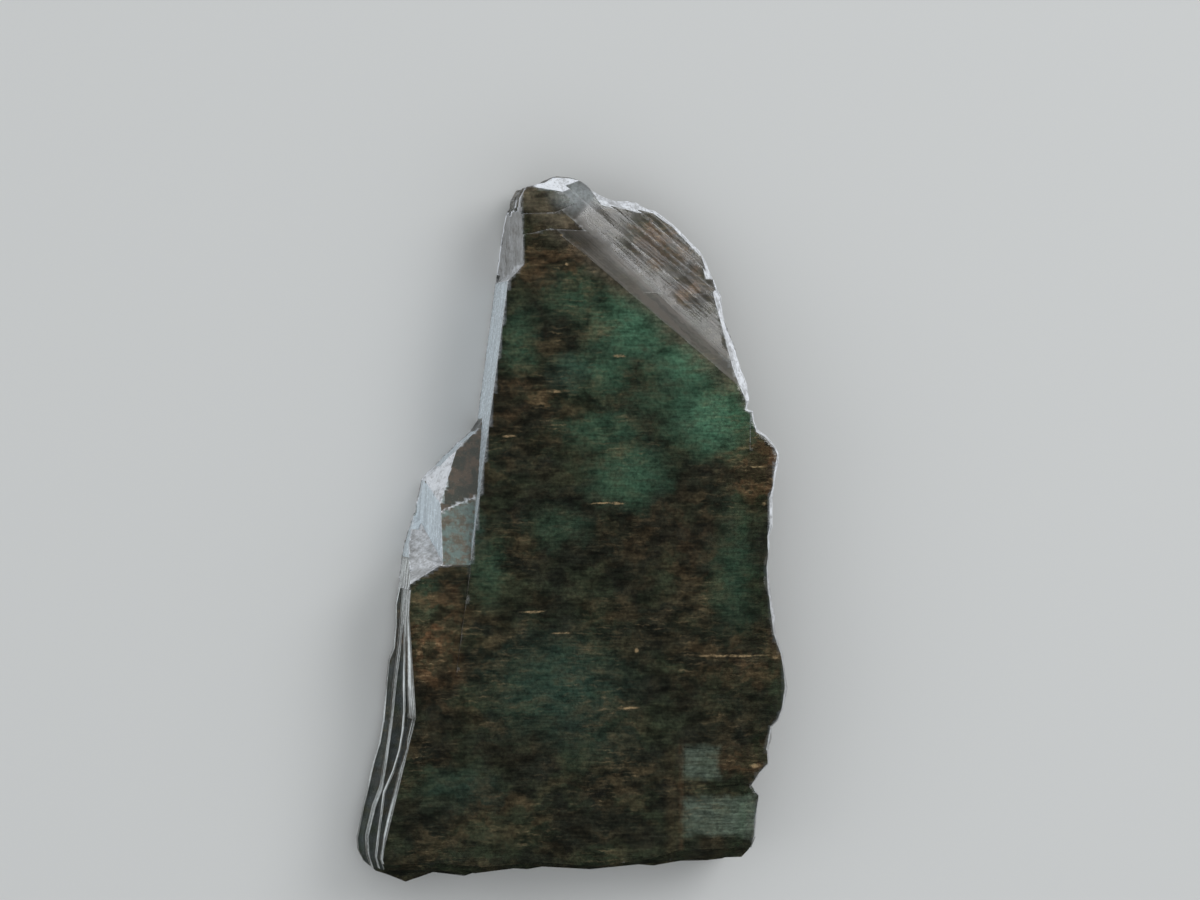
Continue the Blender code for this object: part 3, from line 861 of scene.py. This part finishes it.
def body_material(look, streaks):
    """The clear dark body: olive and brown veils, green and teal windows, and glints of inner cracks."""
    material, tree, shader, output = new_material("vivianite_body")
    field = body_fields(tree, streaks)
    # Worn edges painted toward the frost colour: partly wear, partly painted highlight where the light
    # catches them.
    worn = times(tree, mark(tree, "edge"), spread(tree, field.fine, 0.35, 0.65, 0.1, 0.75))
    colour = blend(tree, worn, body_colour(tree, look, field), look.frost)
    rough = spread(tree, noise_of(tree, field.place, 0.9, 4.0), 0.35, 0.75, 0.07, 0.2)
    rough = math_node(tree, "ADD", rough, times(tree, worn, 0.3), clamp=True)
    colour, rough = bevel_look(tree, look, field, colour, rough)
    tree.links.new(colour, shader.inputs["Base Color"])
    tree.links.new(rough, shader.inputs["Roughness"])
    bump_normal(tree, shader, body_lines(tree, streaks, field), 0.3, 0.02 * MM)

    shader.inputs["Metallic"].default_value = 0.0
    shader.inputs["Transmission Weight"].default_value = look.clearness
    shader.inputs["IOR"].default_value = look.refraction
    depth = add(tree, "ShaderNodeVolumeAbsorption", Color=(*look.absorbed, 1.0), Density=look.density)
    tree.links.new(depth.outputs[0], output.inputs["Volume"])
    return material


def broken_material(look, streaks):
    """Broken and worn places: whitish where fine splinters catch the light, dark where they are dense."""
    material, tree, shader, _ = new_material("vivianite_broken")
    place = place_in_mm(tree)
    coarse = noise_of(tree, place, 1.7, 3.0, 0.55)
    fine = noise_of(tree, place, 6.0, 3.0, 0.7)
    splinters = place_group(tree, streaks, Place=place, Grain=(0.5, 1.6, 0.12), Low=0.35, High=0.7)
    white = times(tree, mark(tree, "pale"), spread(tree, part_of(tree, place, "Y"), -7.0, 6.0, 0.5, 1.0))
    white = times(tree, spread(tree, coarse, 0.34, 0.62, 0.68, 1.25), white)
    white = times(tree, white, spread(tree, fine, 0.3, 0.65, 0.55, 1.2))
    # Worn edges painted toward the frost colour: partly wear, partly painted highlight where the light
    # catches them.
    worn = times(tree, mark(tree, "edge"), spread(tree, fine, 0.25, 0.55, 0.6, 1.4))
    colour = blend(tree, larger(tree, white, worn), DENSE_BREAK, look.frost)
    colour = blend(tree, times(tree, splinters, 0.2), colour, look.frost)
    tree.links.new(colour, shader.inputs["Base Color"])
    tree.links.new(spread(tree, fine, 0.3, 0.7, 0.28, 0.6), shader.inputs["Roughness"])
    bump_normal(tree, shader, math_node(tree, "ADD", fine, times(tree, splinters, 0.5)), 0.8, 0.08 * MM)
    shader.inputs["IOR"].default_value = look.refraction
    return material


def sheen_material(look, streaks):
    """Side facets with a pale bluish sheen painted into the colour as reflection, and the thin layers' edges,
    grey (partly painted grazing reflection) with dark joints between.
    """
    material, tree, shader, _ = new_material("vivianite_sheen")
    place = place_in_mm(tree)
    drawn = place_group(tree, streaks, Place=place, Grain=(2.0, 3.5, 0.3), Low=0.3, High=0.7)
    fine = noise_of(tree, place, 5.0, 3.0, 0.7)
    sheets = place_group(tree, streaks, Place=place, Grain=(6.0, 6.0, 0.22), Low=0.39, High=0.57)
    stains = place_group(tree, streaks, Place=place, Grain=(1.0, 1.6, 0.5), Low=0.35, High=0.65)
    pale = mark(tree, "pale")
    # The painted sheen: pale bluish colour standing in for the facets' reflection.
    smooth = tinted(tree, look.pale, spread(tree, drawn, 0.0, 1.0, 0.82, 1.1))
    specks = spread(tree, noise_of(tree, place, 1.8, 4.0, 0.65), 0.42, 0.62)
    brownish = blend(tree, specks, look.dark, BROWN_SPECKS)
    greenish = blend(tree, specks, GREEN_VEIL, GREEN_VEIL_SPECKS)
    veiled = blend(tree, spread(tree, pale, 0.66, 0.78), brownish, greenish)
    smooth = blend(tree, spread(tree, pale, 0.84, 0.96), veiled, smooth)
    # The layers' edges: dark joints, and grey that is partly painted grazing reflection.
    joints = times(tree, sheets, spread(tree, stains, 0.0, 1.0, 0.45, 1.0))
    layered = blend(tree, joints, JOINT_DARK, LAYER_GREY_AND_SHEEN)
    colour = blend(tree, mark(tree, "layered"), smooth, layered)
    colour = tinted(tree, colour, spread(tree, fine, 0.25, 0.75, 0.86, 1.12))
    # Worn edges painted toward the frost colour: partly wear, partly painted highlight where the light
    # catches them.
    worn = times(tree, mark(tree, "edge"), spread(tree, fine, 0.35, 0.6, 0.1, 0.8))
    colour = blend(tree, worn, colour, look.frost)
    tree.links.new(colour, shader.inputs["Base Color"])
    tree.links.new(spread(tree, fine, 0.3, 0.7, 0.15, 0.3), shader.inputs["Roughness"])
    bump_normal(tree, shader, math_node(tree, "ADD", times(tree, fine, 0.4), sheets), 0.3, 0.02 * MM)
    shader.inputs["IOR"].default_value = look.refraction
    return material


class OBJECT_OT_vivianite_crystal(bpy.types.Operator):
    """Build the crystal's surface and material around its solid"""

    bl_idname = "object.vivianite_crystal"
    bl_label = "Crystal"

    def execute(self, context):
        depths = context.scene.vivianite_surface
        bm = merged_solid()
        marks = mark_faces(bm)
        divide(bm, 1, depths.cell_along)
        divide(bm, 2, depths.cell_across)
        divide(bm, 0, depths.cell_across)
        end_side_strip(bm, marks)
        roughen(bm, marks, depths)
        for face in bm.faces:
            face.smooth = True
            sheen = face[marks["layered"]] > 0.5 or face[marks["pale"]] > SHEEN_FROM
            face.material_index = BROKEN if face[marks["broken"]] > 0.5 else SHEEN if sheen else BODY
        mesh = bpy.data.meshes.new("crystal")
        bm.to_mesh(mesh)
        write_marks(mesh, bm, marks)
        bm.free()
        crystal = bpy.data.objects.new("crystal", mesh)
        context.scene.collection.objects.link(crystal)
        look = context.scene.vivianite_body
        streaks = streak_group()
        for make_material in (body_material, broken_material, sheen_material):
            mesh.materials.append(make_material(look, streaks))
        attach(crystal, "root")
        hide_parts(NODE)
        return {"FINISHED"}


# Stage


def floor_material(colour):
    material, _, shader, _ = new_material("plain_floor")
    shader.inputs["Base Color"].default_value = (*colour, 1.0)
    shader.inputs["Roughness"].default_value = 0.9
    shader.inputs["Specular IOR Level"].default_value = 0.2
    return material


def soft_world(strength):
    """Even light from all around, but dim straight above, so that the front face stays dark and clear."""
    world = bpy.data.worlds.new("soft_light")
    world.use_nodes = True
    tree = world.node_tree
    background = tree.nodes["Background"]
    direction = tree.nodes.new("ShaderNodeTexCoord").outputs["Generated"]
    level = spread(tree, reach_along(tree, direction, DIM_SKY), *SKY_DIMS, 1.0, 0.05)
    tree.links.new(times(tree, level, strength), background.inputs["Strength"])
    background.inputs["Color"].default_value = SKY_WHITE
    return world


def soft_light(name, direction, distance, size, power):
    """A square soft light that shines on the crystal from a direction."""
    lamp = bpy.data.lights.new(name, "AREA")
    lamp.shape = "SQUARE"
    lamp.size = size
    lamp.energy = power
    light = bpy.data.objects.new(name, lamp)
    bpy.context.scene.collection.objects.link(light)
    light.location = Vector(direction).normalized() * distance
    light.rotation_euler = Vector(direction).to_track_quat("Z", "Y").to_euler()


class SCENE_OT_crystal_stage(bpy.types.Operator):
    """Build the floor, the soft light and the camera"""

    bl_idname = "scene.crystal_stage"
    bl_label = "Stage"

    def execute(self, context):
        scene = context.scene
        stage = scene.vivianite_stage
        bm = bmesh.new()
        bmesh.ops.create_grid(bm, x_segments=1, y_segments=1, size=1.0)
        mesh = bpy.data.meshes.new("floor")
        bm.to_mesh(mesh)
        bm.free()
        mesh.materials.append(floor_material(stage.floor))
        floor = bpy.data.objects.new("floor", mesh)
        scene.collection.objects.link(floor)
        scene.world = soft_world(stage.sky)
        soft_light("bevel_window", WINDOW_FROM, distance=0.35, size=0.2, power=stage.window)
        soft_light("side_light", SIDE_LIGHT_FROM, distance=0.5, size=0.25, power=stage.side)

        toward = Vector((-math.sin(stage.turn), 0.0, math.cos(stage.turn)))
        up = Vector((0.0, 1.0, 0.0))
        right = up.cross(toward)
        centre = right * VIEW_MIDDLE[0] * MM + up * VIEW_MIDDLE[1] * MM
        view = bpy.data.cameras.new("view")
        view.lens = stage.lens
        view.sensor_width = 36.0
        view.clip_start = 0.001
        camera = bpy.data.objects.new("view", view)
        scene.collection.objects.link(camera)
        turned = Matrix((right, up, toward)).transposed().to_4x4()
        camera.matrix_world = Matrix.Translation(centre + toward * stage.distance) @ turned
        scene.camera = camera
        scene.view_settings.view_transform = "Standard"
        return {"FINISHED"}


class VIEW3D_PT_vivianite(bpy.types.Panel):
    """Sizes, colours and the steps that build the crystal and its stage"""

    bl_label = "Vivianite crystal"
    bl_idname = "VIEW3D_PT_vivianite"
    bl_space_type = "VIEW_3D"
    bl_region_type = "UI"
    bl_category = "Vivianite"

    def draw(self, context):
        layout = self.layout
        groups = (
            (OBJECT_OT_vivianite_crystal, (context.scene.vivianite_surface, context.scene.vivianite_body)),
            (SCENE_OT_crystal_stage, (context.scene.vivianite_stage,)),
        )
        for operator, settings in groups:
            layout.operator(operator.bl_idname)
            for group in settings:
                column = layout.column(align=True)
                for name in group.__annotations__:
                    column.prop(group, name)


CLASSES = (
    SurfaceSettings, BodySettings, StageSettings, OBJECT_OT_vivianite_crystal, SCENE_OT_crystal_stage,
    VIEW3D_PT_vivianite,
)


def register():
    for cls in CLASSES:
        bpy.utils.register_class(cls)
    bpy.types.Scene.vivianite_surface = PointerProperty(type=SurfaceSettings)
    bpy.types.Scene.vivianite_body = PointerProperty(type=BodySettings)
    bpy.types.Scene.vivianite_stage = PointerProperty(type=StageSettings)


def unregister():
    del bpy.types.Scene.vivianite_stage
    del bpy.types.Scene.vivianite_body
    del bpy.types.Scene.vivianite_surface
    for cls in reversed(CLASSES):
        bpy.utils.unregister_class(cls)


def main():
    register()
    bpy.ops.object.vivianite_crystal()
    bpy.ops.scene.crystal_stage()


if __name__ == "__main__":
    main()
